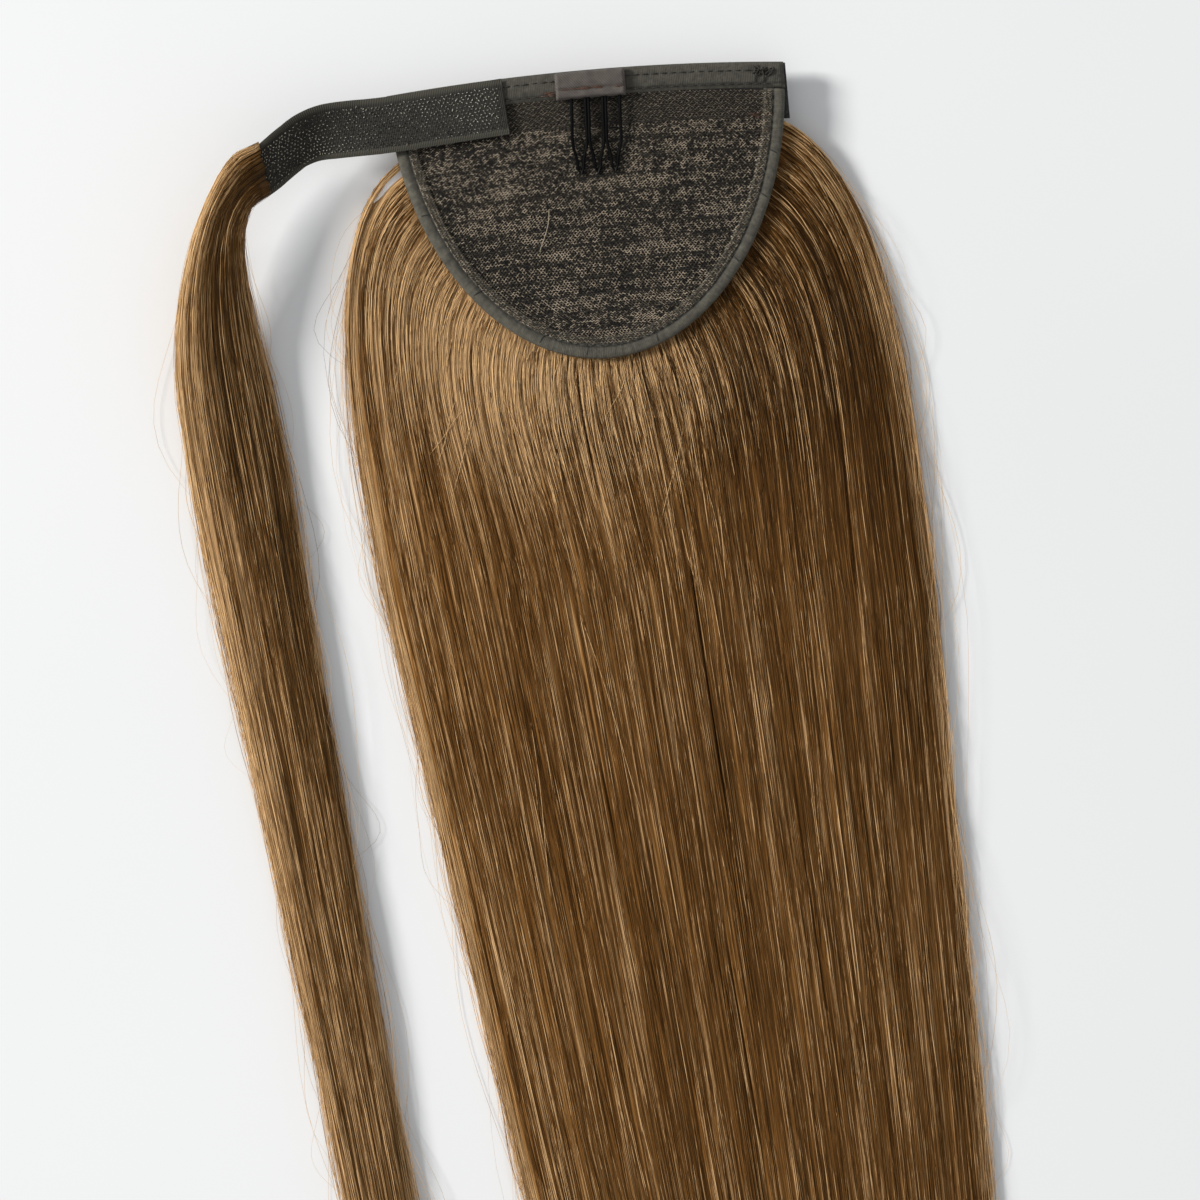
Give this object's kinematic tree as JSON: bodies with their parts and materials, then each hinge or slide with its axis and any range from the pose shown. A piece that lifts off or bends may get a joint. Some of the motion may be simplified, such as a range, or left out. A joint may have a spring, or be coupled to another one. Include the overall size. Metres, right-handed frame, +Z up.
{
  "type": "ponytail hairpiece",
  "caption": "Wrap-around ponytail hairpiece: half-oval net base with a wire comb and hook strap, long straight brown fall and a wrap lock.",
  "frame": {"origin": "on the surface it lies on, under the middle of the whole hairpiece", "axes": "+Y from the tips of the hair towards the base's straight edge, +X to the right seen from above with that edge at the top, +Z up, out of the inner face of the base"},
  "size_m": [0.296, 0.5111, 0.0251],
  "materials": {
    "hair": "glossy straight brown hair",
    "net": "matt knitted net",
    "binding": "matt woven tape",
    "tab_cloth": "matt twill",
    "hook_tape": "dense field of small stiff hooks",
    "loop_tape": "soft brushed loops",
    "comb_wire": "black enamel"
  },
  "bodies": {
    "root": {"base_net": "net", "edge_tape": "binding", "top_tape": "binding", "loop_tape": "loop_tape", "comb_tab": "tab_cloth", "wire_comb": "comb_wire", "weft_row_01": "hair", "weft_row_02": "hair", "weft_row_03": "hair", "weft_row_04": "hair", "weft_row_05": "hair", "weft_row_06": "hair", "weft_row_07": "hair", "weft_row_08": "hair", "weft_row_09": "hair", "weft_row_10": "hair", "weft_row_11": "hair", "weft_row_12": "hair", "weft_row_13": "hair", "hook_strap": "hook_tape", "hair_fall": "hair", "wrap_lock": "hair"}
  },
  "joints": []
}
